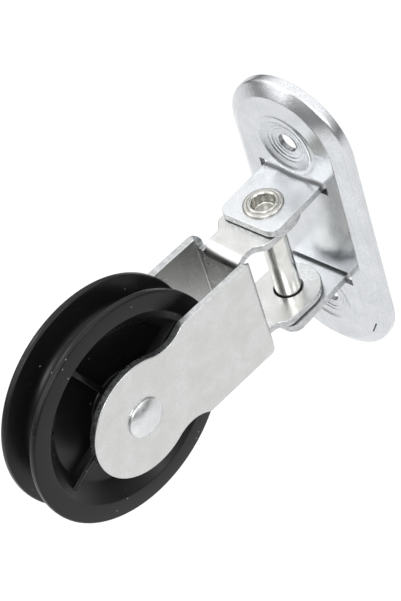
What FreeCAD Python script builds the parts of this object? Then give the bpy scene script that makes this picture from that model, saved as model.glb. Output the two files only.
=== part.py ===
import FreeCAD, Part
import math
import os

os.makedirs("parts", exist_ok=True)

# Hinged rope pulley for a wall: a pressed plate, a bracket with two lugs, a riveted pin,
# a folded fork that swings on the pin, and a grooved wheel on an axle rivet in the fork.
# Millimetres. The wall is the plane Y = 0, the part stands out towards -Y, Z runs up along
# the hinge pin, and the origin is the middle of the plate's wall side.

# Wall plate: a shallow pan with an upright rim, a sloping shoulder and a flat face.
PLATE_LENGTH = 88.0
PLATE_WIDTH = 36.0
PLATE_DEPTH = 4.6
PLATE_SHEET = 1.5
RIM_HEIGHT = 2.4
SHOULDER_WIDTH = 3.5
SHOULDER_ROUND = 0.9

# Screw dimples: a pressed bowl with a raised lip, one at each end of the plate.
SCREW_SPACING = 52.0
SCREW_HOLE = 5.2
DIMPLE_DIAMETER = 14.2
DIMPLE_DEPTH = 1.0
DIMPLE_FLOOR = 6.4
DIMPLE_SAG_SHARE = 0.68
LIP_WIDTH = 2.2
LIP_RISE = 0.4

# Hinge bracket: one strip folded to a U, its lugs reach out through two slots in the plate.
BRACKET_SHEET = 2.0
BRACKET_WIDTH = 18.0
BRACKET_GAP = 29.2
BRACKET_BEND = 0.8
LUG_OVERHANG = 7.1
LOWER_LUG_EXTRA = 2.2
LUG_CORNER = 3.0
SLOT_END_GAP = 1.4
SLOT_OUTER_GAP = 1.2
SLOT_BEND_GAP = 0.15

# Hinge pin: a rivet with a hollow upper end, rolled to a collar and a lip over the top lug.
PIN_TO_WALL = 16.2
PIN_DIAMETER = 6.8
PIN_FIT = 0.05
PIN_HEAD_DIAMETER = 10.4
PIN_HEAD_HEIGHT = 1.5
PIN_HEAD_EASE = 0.5
PIN_ROLL_HEIGHT = 1.1
PIN_RING_DIAMETER = 8.2
PIN_RING_DIP = 0.4
PIN_HOLLOW = 5.8
PIN_HOLLOW_DEPTH = 3.4
PIN_MOUTH = 6.2

# Wheel fork: one folded sheet with two arms, a web and an ear above and below for the pin.
FORK_SHEET = 2.0
FORK_GAP = 15.6
FORK_BEND = 0.5
WEB_TO_PIN = 14.8
ARM_HEIGHT = 30.4
ARM_CORNER = 2.0
ARM_SHOULDER = 2.5
HEAD_DIAMETER = 31.6
WAIST_HEIGHT = 25.8
WAIST_RADIUS = 9.0
EAR_WIDTH = 16.8
EAR_FRONT = 8.3
EAR_BEND = 1.5
EAR_PLAY = 0.35
EAR_HOLE_PLAY = 0.35
NECK_WIDTH = 11.4
NECK_ROUND_SHARE = 0.6
NOTCH_DEPTH = 2.2
REST_SWING = -4.0

# Axle: a rivet with two domed heads through the heads of the arms.
AXLE_TO_PIN = 57.0
AXLE_DIAMETER = 6.0
AXLE_FIT = 0.05
AXLE_HEAD_DIAMETER = 10.4
AXLE_HEAD_HEIGHT = 2.2
AXLE_HEAD_EDGE = 0.5

# Wheel: a moulding with a rope groove, a coned recess on each side, ribs and a hub.
WHEEL_DIAMETER = 60.0
WHEEL_WIDTH = 12.0
GROOVE_WIDTH = 8.4
GROOVE_DEPTH = 6.8
GROOVE_ROOT_RADIUS = 3.0
FLANGE_ROUND = 0.6
RECESS_DIAMETER = 50.0
RECESS_FLOOR_DIAMETER = 41.0
WHEEL_WEB = 4.0
HUB_DIAMETER = 17.0
HUB_PROUD = 0.3
BORE_PLAY = 0.1
WHEEL_SIDE_PLAY = 0.2
RIB_COUNT = 4
RIB_THICKNESS = 1.6
RIB_SUNK = 1.5
RIB_ROOT = 0.4
RIB_FIRST_ANGLE = 65.0

# Cutters run this far past the faces that they open, and closer points count as the same place.
PAST = 5.0
SAME_PLACE = 0.001

X_AXIS = FreeCAD.Vector(1, 0, 0)
Y_AXIS = FreeCAD.Vector(0, 1, 0)
Z_AXIS = FreeCAD.Vector(0, 0, 1)
ORIGIN = FreeCAD.Vector(0, 0, 0)

face_y = -PLATE_DEPTH
plate_back_y = face_y + PLATE_SHEET
lug_inner_z = BRACKET_GAP / 2
lug_outer_z = lug_inner_z + BRACKET_SHEET
lug_middle_z = (lug_inner_z + lug_outer_z) / 2
pin_radius = PIN_DIAMETER / 2
ear_top_z = lug_inner_z - EAR_PLAY
ear_outer_bend = EAR_BEND + FORK_SHEET
arm_half = ARM_HEIGHT / 2
head_radius = HEAD_DIAMETER / 2
arm_inner_x = FORK_GAP / 2
arm_outer_x = arm_inner_x + FORK_SHEET
wheel_radius = WHEEL_DIAMETER / 2
half_wheel = WHEEL_WIDTH / 2
half_hub = half_wheel + HUB_PROUD
axle_radius = AXLE_DIAMETER / 2
# The loose wheel has slid along its axle to the left arm.
wheel_slide = -(arm_inner_x - half_hub - WHEEL_SIDE_PLAY)


def vec(x, y, z):
    """A point or direction."""
    return FreeCAD.Vector(x, y, z)


def line(a, b):
    """A straight edge."""
    return Part.LineSegment(a, b).toShape()


def arc(a, middle, b):
    """A round edge through three points."""
    return Part.Arc(a, middle, b).toShape()


def face_of(edges):
    """The flat face inside a closed run of edges."""
    return Part.Face(Part.Wire(edges))


def polygon(points):
    """The flat face inside straight edges."""
    return Part.Face(Part.makePolygon(points + points[:1]))


def block(x0, x1, y0, y1, z0, z1):
    """A box between two corners."""
    return Part.makeBox(x1 - x0, y1 - y0, z1 - z0, vec(x0, y0, z0))


def rod(radius, start, length, axis):
    """A cylinder from a start point along an axis."""
    return Part.makeCylinder(radius, length, start, axis)


def edges_where(shape, test):
    """The edges whose middle point passes a test."""
    return [edge for edge in shape.Edges if test(edge.valueAt(edge.getParameterByLength(edge.Length / 2)))]


def near(a, b):
    """Whether two lengths are the same place."""
    return abs(a - b) < SAME_PLACE


def mirrored_pair(shape):
    """A shape above the middle plane together with its mirror image below."""
    return [shape, shape.mirror(ORIGIN, Z_AXIS)]


def stadium(half_width, half_length, y):
    """A slot-shaped wire across the wall, at one depth."""
    straight = half_length - half_width
    right_top = vec(half_width, y, straight)
    left_top = vec(-half_width, y, straight)
    left_low = vec(-half_width, y, -straight)
    right_low = vec(half_width, y, -straight)
    top = arc(right_top, vec(0, y, half_length), left_top)
    low = arc(left_low, vec(0, y, -half_length), right_low)
    return Part.Wire([top, line(left_top, left_low), low, line(right_low, right_top)])


def pan(half_width, half_length, rim, shoulder, depth):
    """The outside or inside of the plate: an upright rim and a shoulder that slopes to the face."""
    base = Part.Face(stadium(half_width, half_length, 0)).extrude(vec(0, -rim, 0))
    low = stadium(half_width, half_length, -rim)
    high = stadium(half_width - shoulder, half_length - shoulder, -depth)
    return base.fuse(Part.makeLoft([low, high], True, True)).removeSplitter()


def plate_shell():
    """The pan of even thickness, open to the wall, with its shoulder edges rounded."""
    half_width = PLATE_WIDTH / 2
    half_length = PLATE_LENGTH / 2
    outside = pan(half_width, half_length, RIM_HEIGHT, SHOULDER_WIDTH, PLATE_DEPTH)
    rounded = edges_where(outside, lambda p: near(p.y, -RIM_HEIGHT) or near(p.y, face_y))
    outside = outside.makeFillet(SHOULDER_ROUND, rounded)
    lean = math.atan2(SHOULDER_WIDTH, PLATE_DEPTH - RIM_HEIGHT)
    inner_rim = RIM_HEIGHT - PLATE_SHEET * math.tan(lean / 2)
    inner_edge = SHOULDER_WIDTH - PLATE_SHEET + PLATE_SHEET * math.tan((math.pi / 2 - lean) / 2)
    inside = pan(half_width - PLATE_SHEET, half_length - PLATE_SHEET, inner_rim, inner_edge, -plate_back_y)
    return outside.cut(inside)


def dimple_section(front_shift, hole_radius):
    """The half section of a dimple's front surface, moved back by a shift, closed at the axis."""
    radius = DIMPLE_DIAMETER / 2
    floor = DIMPLE_FLOOR / 2
    level = face_y + front_shift
    lip_edge = radius + LIP_WIDTH
    lip_middle = radius + LIP_WIDTH / 2
    bowl_middle = (radius + floor) / 2
    start = vec(lip_edge, level, 0)
    edge = vec(radius, level, 0)
    bottom = vec(floor, level + DIMPLE_DEPTH, 0)
    sag = vec(bowl_middle, level + DIMPLE_DEPTH * DIMPLE_SAG_SHARE, 0)
    return [arc(start, vec(lip_middle, level - LIP_RISE, 0), edge), arc(edge, sag, bottom),
            line(bottom, vec(hole_radius, level + DIMPLE_DEPTH, 0))]


def dimple(z):
    """One screw dimple: the pressed sheet turned about the screw's axis."""
    hole = SCREW_HOLE / 2
    front = dimple_section(0, hole)
    back = dimple_section(PLATE_SHEET, hole)
    outer_front = vec(DIMPLE_DIAMETER / 2 + LIP_WIDTH, face_y, 0)
    outer_back = vec(DIMPLE_DIAMETER / 2 + LIP_WIDTH, plate_back_y, 0)
    inner_front = vec(hole, face_y + DIMPLE_DEPTH, 0)
    inner_back = vec(hole, plate_back_y + DIMPLE_DEPTH, 0)
    loop = front + [line(inner_front, inner_back)] + back + [line(outer_back, outer_front)]
    section = Part.Face(Part.Wire(Part.__sortEdges__(loop)))
    return section.revolve(ORIGIN, Y_AXIS, 360).translated(vec(0, 0, z))


def lug_slot():
    """The cutter for the upper slot, which clears the lug and the bend behind the face."""
    half = BRACKET_WIDTH / 2 + SLOT_END_GAP
    low = lug_inner_z - BRACKET_BEND - SLOT_BEND_GAP
    high = lug_outer_z + SLOT_OUTER_GAP
    return block(-half, half, face_y - PAST, 0, low, high)


def wall_plate():
    """The pressed plate with two dimples and two slots."""
    plate = plate_shell()
    dimple_reach = DIMPLE_DIAMETER / 2 + LIP_WIDTH
    for z in (SCREW_SPACING / 2, -SCREW_SPACING / 2):
        plate = plate.cut(rod(dimple_reach, vec(0, face_y - PAST, z), PLATE_DEPTH + PAST, Y_AXIS))
        plate = plate.fuse(dimple(z))
    plate = plate.removeSplitter()
    for slot in mirrored_pair(lug_slot()):
        plate = plate.cut(slot)
    return plate


def hinge_bracket():
    """The U strip: a base behind the plate's face, two bends and two lugs with rounded corners."""
    half = BRACKET_WIDTH / 2
    upper_tip_y = -(PIN_TO_WALL + LUG_OVERHANG)
    tip_y = upper_tip_y - LOWER_LUG_EXTRA
    base_back_y = plate_back_y + BRACKET_SHEET
    solid = block(-half, half, tip_y, base_back_y, -lug_outer_z, lug_outer_z)
    outer_bends = edges_where(solid, lambda p: near(p.y, base_back_y) and near(p.x, 0))
    solid = solid.makeFillet(BRACKET_BEND + BRACKET_SHEET, outer_bends)
    opening = block(-half - PAST, half + PAST, tip_y - PAST, plate_back_y, -lug_inner_z, lug_inner_z)
    inner_bends = edges_where(opening, lambda p: near(p.y, plate_back_y) and near(p.x, 0))
    solid = solid.cut(opening.makeFillet(BRACKET_BEND, inner_bends))
    solid = solid.cut(block(-half - PAST, half + PAST, tip_y - PAST, upper_tip_y, 0, lug_outer_z + PAST))
    sides = edges_where(solid, lambda p: near(abs(p.x), half) and near(abs(p.z), lug_middle_z))
    tips = [edge for edge in sides if edge.BoundBox.YMax < upper_tip_y + PIN_FIT]
    solid = solid.makeFillet(LUG_CORNER, tips)
    return solid.cut(rod(pin_radius + PIN_FIT, vec(0, -PIN_TO_WALL, -lug_outer_z - PAST),
                         2 * (lug_outer_z + PAST), Z_AXIS))


def hinge_pin():
    """The rivet: a flat head under the lower lug, a shank and the rolled mouth on the upper lug."""
    head = PIN_HEAD_DIAMETER / 2
    low_z = -lug_outer_z - PIN_HEAD_HEIGHT
    roll_z = lug_outer_z + PIN_ROLL_HEIGHT
    mouth = PIN_MOUTH / 2
    hollow = PIN_HOLLOW / 2
    floor_z = roll_z - PIN_HOLLOW_DEPTH
    ring = PIN_RING_DIAMETER / 2
    ring_z = roll_z - PIN_RING_DIP
    collar_z = lug_outer_z + PIN_HEAD_EASE / 2
    lip_z = roll_z - PIN_HEAD_EASE / 2
    funnel_z = lip_z - (mouth - hollow)
    outline = [vec(0, 0, low_z), vec(head - PIN_HEAD_EASE, 0, low_z), vec(head, 0, low_z + PIN_HEAD_EASE),
               vec(head, 0, -lug_outer_z), vec(pin_radius, 0, -lug_outer_z), vec(pin_radius, 0, lug_outer_z),
               vec(head, 0, lug_outer_z), vec(head, 0, collar_z)]
    inside = [vec(mouth, 0, lip_z), vec(hollow, 0, funnel_z), vec(hollow, 0, floor_z), vec(0, 0, floor_z),
              outline[0]]
    valley = vec(ring, 0, ring_z)
    edges = [line(a, b) for a, b in zip(outline, outline[1:])]
    edges.append(arc(outline[-1], vec((head + ring) / 2, 0, ring_z + PIN_RING_DIP / 8), valley))
    edges.append(arc(valley, vec((ring + mouth) / 2, 0, roll_z), inside[0]))
    edges += [line(a, b) for a, b in zip(inside, inside[1:])]
    return face_of(edges).revolve(ORIGIN, Z_AXIS, 360).translated(vec(0, -PIN_TO_WALL, 0))


def on_fork(shape):
    """Carries a shape from the fork's own frame, with the pin at its origin, to its place at rest."""
    return shape.rotated(ORIGIN, Z_AXIS, REST_SWING).translated(vec(0, -PIN_TO_WALL, 0))


def channel():
    """The folded web and arms as a U, as tall as the arms."""
    end_y = -(AXLE_TO_PIN + head_radius + PAST)
    web_y = -WEB_TO_PIN
    solid = block(-arm_outer_x, arm_outer_x, end_y, web_y, -arm_half, arm_half)
    outer = edges_where(solid, lambda p: near(p.y, web_y) and near(p.z, 0))
    solid = solid.makeFillet(FORK_BEND + FORK_SHEET, outer)
    inner_y = web_y - FORK_SHEET
    opening = block(-arm_inner_x, arm_inner_x, end_y - PAST, inner_y, -arm_half - PAST, arm_half + PAST)
    inner = edges_where(opening, lambda p: near(p.y, inner_y) and near(p.z, 0))
    return solid.cut(opening.makeFillet(FORK_BEND, inner))


def arm_outline():
    """The side view of an arm: a tall back, a waist above and below, and a round head at the axle."""
    waist_z = WAIST_HEIGHT / 2 + WAIST_RADIUS
    waist_out = AXLE_TO_PIN - math.sqrt((head_radius + WAIST_RADIUS) ** 2 - waist_z ** 2)
    rise = waist_z - arm_half + ARM_SHOULDER
    shoulder_out = waist_out - math.sqrt((WAIST_RADIUS + ARM_SHOULDER) ** 2 - rise ** 2)
    shoulder_z = arm_half - ARM_SHOULDER
    share = ARM_SHOULDER / (ARM_SHOULDER + WAIST_RADIUS)
    to_head = head_radius / (head_radius + WAIST_RADIUS)
    corner = ARM_CORNER * (1 - math.sqrt(0.5))

    def at(out, up):
        return vec(0, -out, up)

    joint = at(shoulder_out + (waist_out - shoulder_out) * share,
               shoulder_z + (waist_z - shoulder_z) * share)
    meet = at(AXLE_TO_PIN + (waist_out - AXLE_TO_PIN) * to_head, waist_z * to_head)
    turn = math.atan2(joint.z - shoulder_z, -joint.y - shoulder_out)
    turn_middle = (turn + math.pi / 2) / 2
    shoulder_middle = at(shoulder_out + ARM_SHOULDER * math.cos(turn_middle),
                         shoulder_z + ARM_SHOULDER * math.sin(turn_middle))
    waist_middle = at(waist_out, WAIST_HEIGHT / 2)
    upper = [arc(at(WEB_TO_PIN, arm_half - ARM_CORNER), at(WEB_TO_PIN + corner, arm_half - corner),
                 at(WEB_TO_PIN + ARM_CORNER, arm_half)),
             line(at(WEB_TO_PIN + ARM_CORNER, arm_half), at(shoulder_out, arm_half)),
             arc(at(shoulder_out, arm_half), shoulder_middle, joint), arc(joint, waist_middle, meet)]
    lower = [edge.mirror(ORIGIN, Z_AXIS) for edge in upper]
    meet_low = vec(0, meet.y, -meet.z)
    head = arc(meet, at(AXLE_TO_PIN + head_radius, 0), meet_low)
    back = line(at(WEB_TO_PIN, arm_half - ARM_CORNER), at(WEB_TO_PIN, ARM_CORNER - arm_half))
    return Part.Face(Part.Wire(Part.__sortEdges__(upper + [head, back] + lower)))


def ear():
    """The upper ear: a bend up from the web, a neck, and a round-ended tab with the pin's hole."""
    half = EAR_WIDTH / 2
    neck = NECK_WIDTH / 2
    low_z = ear_top_z - FORK_SHEET
    bend_out = WEB_TO_PIN + FORK_SHEET - ear_outer_bend
    bend_z = ear_top_z - ear_outer_bend
    taper_out = EAR_FRONT + half - neck
    right = [vec(half, 0, low_z), vec(half, -EAR_FRONT, low_z), vec(neck, -taper_out, low_z),
             vec(neck, -bend_out, low_z)]
    left = [vec(-p.x, p.y, p.z) for p in reversed(right)]
    tab = polygon(right + left).extrude(vec(0, 0, FORK_SHEET))
    inside = edges_where(tab, lambda p: near(abs(p.x), neck) and near(p.y, -taper_out))
    outside = edges_where(tab, lambda p: near(abs(p.x), half) and near(p.y, -EAR_FRONT))
    room = min(bend_out - taper_out, (half - neck) * math.sqrt(0.5))
    tab = tab.makeFillet(room * NECK_ROUND_SHARE / math.tan(math.pi / 8), inside + outside)
    tab = tab.fuse(rod(half, vec(0, 0, low_z), FORK_SHEET, Z_AXIS)).removeSplitter()
    diagonal = math.sqrt(0.5)
    web_front = vec(-neck, -WEB_TO_PIN - FORK_SHEET, bend_z)
    web_back = vec(-neck, -WEB_TO_PIN, bend_z)
    tab_top = vec(-neck, -bend_out, ear_top_z)
    tab_low = vec(-neck, -bend_out, low_z)
    outer_middle = vec(-neck, -bend_out - ear_outer_bend * diagonal, bend_z + ear_outer_bend * diagonal)
    inner_middle = vec(-neck, -bend_out - EAR_BEND * diagonal, bend_z + EAR_BEND * diagonal)
    bend = face_of([arc(web_front, outer_middle, tab_top), line(tab_top, tab_low),
                    arc(tab_low, inner_middle, web_back), line(web_back, web_front)])
    return tab.fuse(bend.extrude(vec(NECK_WIDTH, 0, 0)))


def wheel_fork():
    """The fork: channel and arm outline, notches beside the necks, two ears and the rivet holes."""
    reach = arm_outer_x + PAST
    side = arm_outline().extrude(vec(2 * reach, 0, 0)).translated(vec(-reach, 0, 0))
    fork = channel().common(side)
    web_y = -WEB_TO_PIN - FORK_SHEET - FORK_BEND
    neck = NECK_WIDTH / 2
    bend_z = ear_top_z - ear_outer_bend
    notch = block(-arm_inner_x, arm_inner_x, web_y, 0, ear_top_z - NOTCH_DEPTH, arm_half + PAST)
    notch = notch.fuse(block(-neck, neck, web_y, 0, bend_z, arm_half + PAST))
    for cutter in mirrored_pair(notch):
        fork = fork.cut(cutter)
    for tab in mirrored_pair(ear()):
        fork = fork.fuse(tab)
    fork = fork.removeSplitter()
    fork = fork.cut(rod(pin_radius + EAR_HOLE_PLAY, vec(0, 0, -lug_outer_z), 2 * lug_outer_z, Z_AXIS))
    fork = fork.cut(rod(axle_radius + AXLE_FIT, vec(-reach, -AXLE_TO_PIN, 0), 2 * reach, X_AXIS))
    return on_fork(fork)


def axle_rivet():
    """The axle: a shank between two domed heads that sit on the arms."""
    head = AXLE_HEAD_DIAMETER / 2
    rise = AXLE_HEAD_HEIGHT - AXLE_HEAD_EDGE
    dome = (head ** 2 + rise ** 2) / (2 * rise)
    half_turn = math.asin(head / dome) / 2
    top = arm_outer_x + AXLE_HEAD_HEIGHT
    edge = arm_outer_x + AXLE_HEAD_EDGE
    dome_middle = vec(top - dome * (1 - math.cos(half_turn)), dome * math.sin(half_turn), 0)
    right = [line(vec(0, axle_radius, 0), vec(arm_outer_x, axle_radius, 0)),
             line(vec(arm_outer_x, axle_radius, 0), vec(arm_outer_x, head, 0)),
             line(vec(arm_outer_x, head, 0), vec(edge, head, 0)),
             arc(vec(edge, head, 0), dome_middle, vec(top, 0, 0)),
             line(vec(top, 0, 0), ORIGIN), line(ORIGIN, vec(0, axle_radius, 0))]
    half = face_of(right).revolve(ORIGIN, X_AXIS, 360)
    rivet = half.fuse(half.mirror(ORIGIN, X_AXIS)).removeSplitter()
    return on_fork(rivet.translated(vec(0, -AXLE_TO_PIN, 0)))


def groove_edges():
    """The rope groove's half section, from one flange over the round root to the other."""
    rim = wheel_radius
    root_centre = rim - GROOVE_DEPTH + GROOVE_ROOT_RADIUS
    mouth = GROOVE_WIDTH / 2
    reach = math.hypot(mouth, rim - root_centre)
    turn = math.atan2(rim - root_centre, mouth) - math.acos(GROOVE_ROOT_RADIUS / reach)
    touch = vec(GROOVE_ROOT_RADIUS * math.cos(turn), root_centre + GROOVE_ROOT_RADIUS * math.sin(turn), 0)
    left_touch = vec(-touch.x, touch.y, 0)
    root = vec(0, rim - GROOVE_DEPTH, 0)
    return [line(vec(mouth, rim, 0), touch), arc(touch, root, left_touch),
            line(left_touch, vec(-mouth, rim, 0))]


def wheel_body():
    """The turned wheel: groove, flanges, coned recesses, web, hub and bore."""
    rim = wheel_radius
    bore = axle_radius + BORE_PLAY
    recess = RECESS_DIAMETER / 2
    floor = RECESS_FLOOR_DIAMETER / 2
    hub = HUB_DIAMETER / 2
    web = WHEEL_WEB / 2
    mouth = GROOVE_WIDTH / 2
    right = [vec(mouth, rim, 0), vec(half_wheel, rim, 0), vec(half_wheel, recess, 0), vec(web, floor, 0),
             vec(web, hub, 0), vec(half_hub, hub, 0), vec(half_hub, bore, 0)]
    left = [vec(-p.x, p.y, 0) for p in right]
    edges = [line(a, b) for a, b in zip(right, right[1:])]
    edges += [line(a, b) for a, b in zip(left, left[1:])]
    edges.append(line(right[-1], left[-1]))
    section = Part.Face(Part.Wire(Part.__sortEdges__(edges + groove_edges())))
    body = section.revolve(ORIGIN, X_AXIS, 360)
    lips = edges_where(body, lambda p: near(math.hypot(p.y, p.z), rim))
    return body.makeFillet(FLANGE_ROUND, [edge for edge in lips if edge.Length > rim])


def wheel_ribs():
    """The ribs between hub and rim, sunk a little below the flange faces, right through the web."""
    half = half_wheel - RIB_SUNK
    hub = HUB_DIAMETER / 2
    slope = (RECESS_DIAMETER - RECESS_FLOOR_DIAMETER) / 2 / (half_wheel - WHEEL_WEB / 2)
    tip = RECESS_DIAMETER / 2 - RIB_SUNK * slope
    ribs = []
    for index in range(RIB_COUNT):
        rib = block(-half, half, -tip - RIB_ROOT, -hub + RIB_ROOT, -RIB_THICKNESS / 2, RIB_THICKNESS / 2)
        ribs.append(rib.rotated(ORIGIN, X_AXIS, -RIB_FIRST_ANGLE - index * 360 / RIB_COUNT))
    return ribs


def pulley_wheel():
    """The moulded wheel on its axle, slid to the left arm."""
    wheel = wheel_body()
    for rib in wheel_ribs():
        wheel = wheel.fuse(rib)
    return on_fork(wheel.removeSplitter().translated(vec(wheel_slide, -AXLE_TO_PIN, 0)))


PIECES = {
    "wall_plate": wall_plate,
    "hinge_bracket": hinge_bracket,
    "hinge_pin": hinge_pin,
    "wheel_fork": wheel_fork,
    "axle_rivet": axle_rivet,
    "pulley_wheel": pulley_wheel,
}

for node, make in PIECES.items():
    piece = make()
    piece.exportStep("parts/" + node + ".step")
    print(node, len(piece.Solids), "solid,", round(piece.Volume, 1), "mm3, valid:", piece.isValid())
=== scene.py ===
"""Looks of a hinged rope pulley for a wall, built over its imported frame.

Sizes are millimetres in the classes and metres in the scene. The wall is the plane Y = 0, the
pulley stands out towards -Y, and Z runs up along the hinge pin.
"""
import logging
import math
from dataclasses import dataclass, field
from enum import Enum
from typing import Any, Callable, Union

import bmesh
import bpy
from mathutils import Matrix, Vector
from mathutils.geometry import delaunay_2d_cdt


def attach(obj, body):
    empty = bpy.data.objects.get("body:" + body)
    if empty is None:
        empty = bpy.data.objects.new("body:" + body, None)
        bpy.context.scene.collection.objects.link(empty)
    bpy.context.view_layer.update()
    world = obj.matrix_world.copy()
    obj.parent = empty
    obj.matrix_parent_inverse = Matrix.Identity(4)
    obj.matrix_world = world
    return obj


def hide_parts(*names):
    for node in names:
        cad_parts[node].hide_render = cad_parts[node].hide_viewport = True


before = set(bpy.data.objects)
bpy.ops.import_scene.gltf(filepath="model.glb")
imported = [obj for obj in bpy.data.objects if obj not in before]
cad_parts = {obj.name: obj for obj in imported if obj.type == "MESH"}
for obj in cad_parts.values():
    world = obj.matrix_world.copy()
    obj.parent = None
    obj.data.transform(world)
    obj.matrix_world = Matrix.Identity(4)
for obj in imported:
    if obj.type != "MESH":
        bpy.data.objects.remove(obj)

BMesh = bmesh.types.BMesh
Material = bpy.types.Material
Piece = bpy.types.Object
Socket = bpy.types.NodeSocket
Tree = bpy.types.NodeTree
Point = tuple[float, float]
Corner = tuple[float, float, float]
Place = tuple[float, float, float]
Colour = tuple[float, float, float]
Fold = Callable[[float, float, float], Vector]
Spot = Callable[[Point], bool]

MM = 0.001
FULL_TURN = 360.0
BOTH_SIDES = (1, -1)

# Metres and blank millimetres within which points are one
WELD = 2e-6
SPOT_GAP = 1e-5

# Square millimetres of a large flat face, and the angles that tell flat, smooth and sharp apart
FLAT_AREA = 30.0
FLAT_COSINE = math.cos(math.radians(8))
STRAIGHT = 0.001
JOIN_ANGLE = math.radians(0.25)
BEVEL_ANGLE = math.radians(40)
CREASE_ANGLE = math.radians(42)

# Radii at which the plate is divided round a screw hole, closest where the press rings run
DISH_RINGS = (*(2.75 + 0.15 * i for i in range(20)), 5.9, 6.3, 6.7, 7.1, 7.45, 7.8, 8.2, 8.6, 8.95, 9.3)

# Values that clouds run through, and that nearly all of the grain's values lie between
CLOUD_SPAN = (0.0, 1.0)
GRAIN_SPAN = (0.3, 0.7)

log = logging.getLogger("pulley")


class Body(Enum):
    """The bodies of the frame that the pieces ride on."""

    WALL_MOUNT = "wall_mount"
    SWING_FORK = "swing_fork"
    WHEEL = "wheel"


class Slot(Enum):
    """The record's material slots."""

    BRIGHT_ZINC = "bright_zinc"
    RIVET_NICKEL = "rivet_nickel"
    SATIN_ZINC = "satin_zinc"
    AXLE_ZINC = "axle_zinc"
    BLACK_NYLON = "black_nylon"


class Skin(Enum):
    """The material places of a sheet piece."""

    FACE = 0
    CUT = 1


class TreeKind(Enum):
    """The kinds of node tree that a group can be."""

    SHADER = "ShaderNodeTree"
    GEOMETRY = "GeometryNodeTree"


class SocketKind(Enum):
    """The kinds of socket at a group's ends."""

    FLOAT = "NodeSocketFloat"
    INT = "NodeSocketInt"
    VECTOR = "NodeSocketVector"
    GEOMETRY = "NodeSocketGeometry"
    MATERIAL = "NodeSocketMaterial"


# Outlines


def arc_points(centre: Point, radius: float, start: float, stop: float, steps: int) -> list[Point]:
    """Points along an arc, with both ends.

    Args:
        centre: Middle of the circle.
        radius: Radius of the circle.
        start: First angle in degrees.
        stop: Last angle in degrees.
        steps: Number of chords.

    Returns:
        The points in order.
    """
    turns = [math.radians(start + (stop - start) * i / steps) for i in range(steps + 1)]
    return [(centre[0] + radius * math.cos(t), centre[1] + radius * math.sin(t)) for t in turns]


def circle(centre: Point, radius: float, steps: int) -> list[Point]:
    """The corners of a closed circle."""
    return arc_points(centre, radius, 0.0, FULL_TURN, steps)[:-1]


def arc_through(first: Point, middle: Point, last: Point, steps: int) -> list[Point]:
    """Points along the arc through three points.

    Args:
        first: Start of the arc.
        middle: A point on the arc.
        last: End of the arc.
        steps: Number of chords.

    Returns:
        The points in order, with both ends.
    """
    a, b, c = Vector(first), Vector(middle), Vector(last)
    d = 2 * (a.x * (b.y - c.y) + b.x * (c.y - a.y) + c.x * (a.y - b.y))
    aa, bb, cc = a.length_squared, b.length_squared, c.length_squared
    x = (aa * (b.y - c.y) + bb * (c.y - a.y) + cc * (a.y - b.y)) / d
    y = (aa * (c.x - b.x) + bb * (a.x - c.x) + cc * (b.x - a.x)) / d
    angles = [math.degrees(math.atan2(p.y - y, p.x - x)) for p in (a, b, c)]
    sweep = (angles[2] - angles[0]) % FULL_TURN
    if (angles[1] - angles[0]) % FULL_TURN > sweep:
        sweep -= FULL_TURN
    return arc_points((x, y), (a - Vector((x, y))).length, angles[0], angles[0] + sweep, steps)


def rounded(corners: list[Corner], steps: int) -> list[Point]:
    """An open run of straight lines with its inner corners rounded.

    Args:
        corners: Points of the run, each with its corner radius.
        steps: Chords in each rounded corner.

    Returns:
        The points of the run.
    """
    run = [corners[0][:2]]
    for before, here, after in zip(corners, corners[1:], corners[2:]):
        spot, radius = Vector(here[:2]), here[2]
        into = (spot - Vector(before[:2])).normalized()
        out = (Vector(after[:2]) - spot).normalized()
        turn = into.angle_signed(out, 0.0)
        if radius <= 0 or abs(turn) < STRAIGHT:
            run.append(here[:2])
            continue
        cut = radius * math.tan(abs(turn) / 2)
        start, stop = spot - into * cut, spot + out * cut
        bisector = (out - into).normalized()
        bulge = spot + bisector * (radius / math.cos(turn / 2) - radius)
        run += arc_through(tuple(start), tuple(bulge), tuple(stop), steps)
    return run + [corners[-1][:2]]


def mirrored(run: list[Point], across: int) -> list[Point]:
    """A run of points mirrored in one coordinate and put in reverse order."""
    signs = (-1, 1) if across == 0 else (1, -1)
    return [(x * signs[0], y * signs[1]) for x, y in reversed(run)]


def inside(spot: Point, loop: list[Point]) -> bool:
    """Whether a spot lies inside a closed loop.

    Args:
        spot: The point to test.
        loop: Corners of the loop.

    Returns:
        True where the spot is inside.
    """
    x, y = spot
    found = False
    last_x, last_y = loop[-1]
    for next_x, next_y in loop:
        if (next_y > y) != (last_y > y):
            if x < (last_x - next_x) * (y - next_y) / (last_y - next_y) + next_x:
                found = not found
        last_x, last_y = next_x, next_y
    return found


# Meshes


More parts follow.
